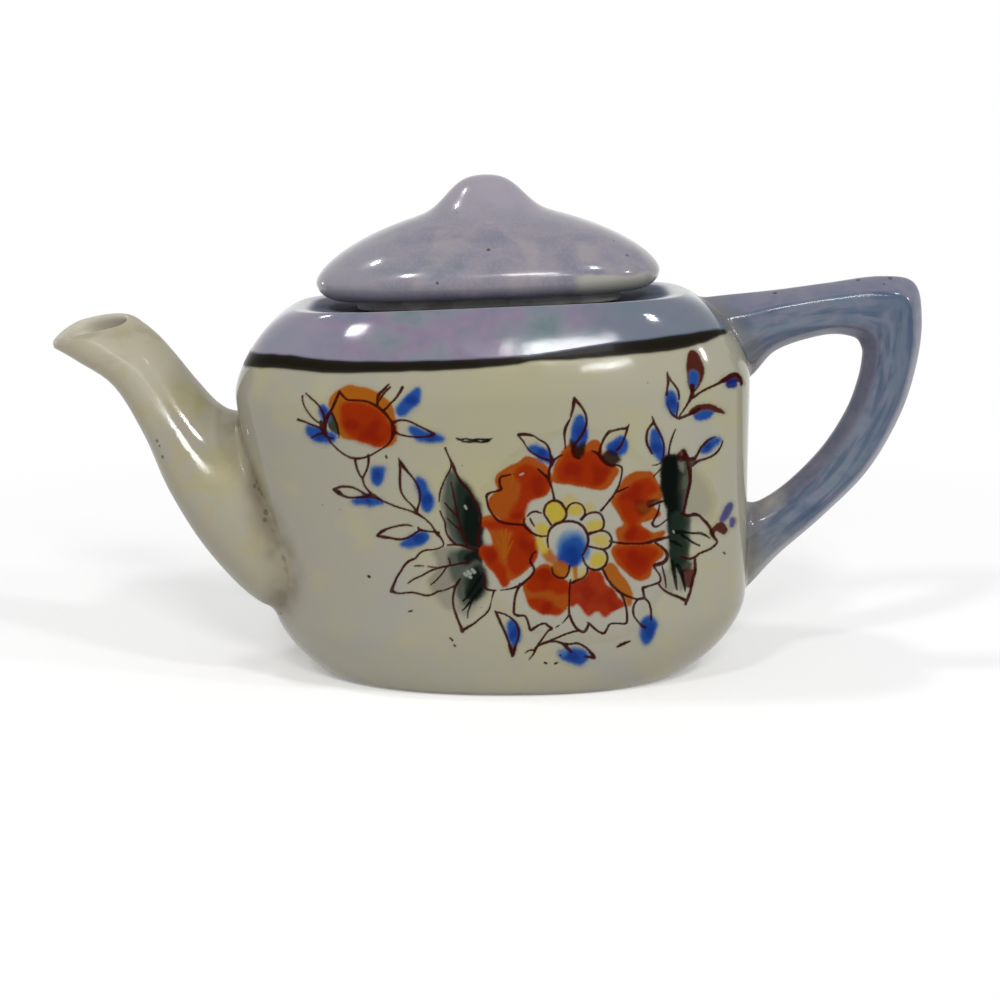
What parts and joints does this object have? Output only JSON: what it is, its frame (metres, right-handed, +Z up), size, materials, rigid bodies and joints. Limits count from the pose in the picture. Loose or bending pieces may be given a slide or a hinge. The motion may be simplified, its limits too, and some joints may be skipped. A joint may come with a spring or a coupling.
{
  "type": "toy teapot",
  "caption": "Child's porcelain teapot with a boxy oval body, an open curved spout, an angular loop handle and a loose domed lid that drops into the mouth.",
  "frame": {"origin": "middle of the foot, on the surface that the pot stands on", "axes": "+Z up, +X toward the handle, -X toward the spout, -Y toward the painted front"},
  "size_m": [0.1442, 0.046, 0.0831],
  "materials": {
    "body_glaze": "cream lustre glaze, painted",
    "spout_glaze": "cream lustre glaze",
    "handle_lustre": "blue pearl lustre glaze",
    "lid_lustre": "lavender pearl lustre glaze",
    "flange_bisque": "unglazed, stained"
  },
  "bodies": {
    "pot": {"pot_body": "body_glaze", "spout": "spout_glaze", "handle": "handle_lustre"},
    "lid": {"lid_cover": "lid_lustre", "lid_knob": "lid_lustre", "lid_flange": "flange_bisque"}
  },
  "joints": [
    {"name": "lid_lift", "type": "slide", "parent": "pot", "child": "lid", "axis": [0, 0, 1], "range_m": [0, 0.05]}
  ]
}
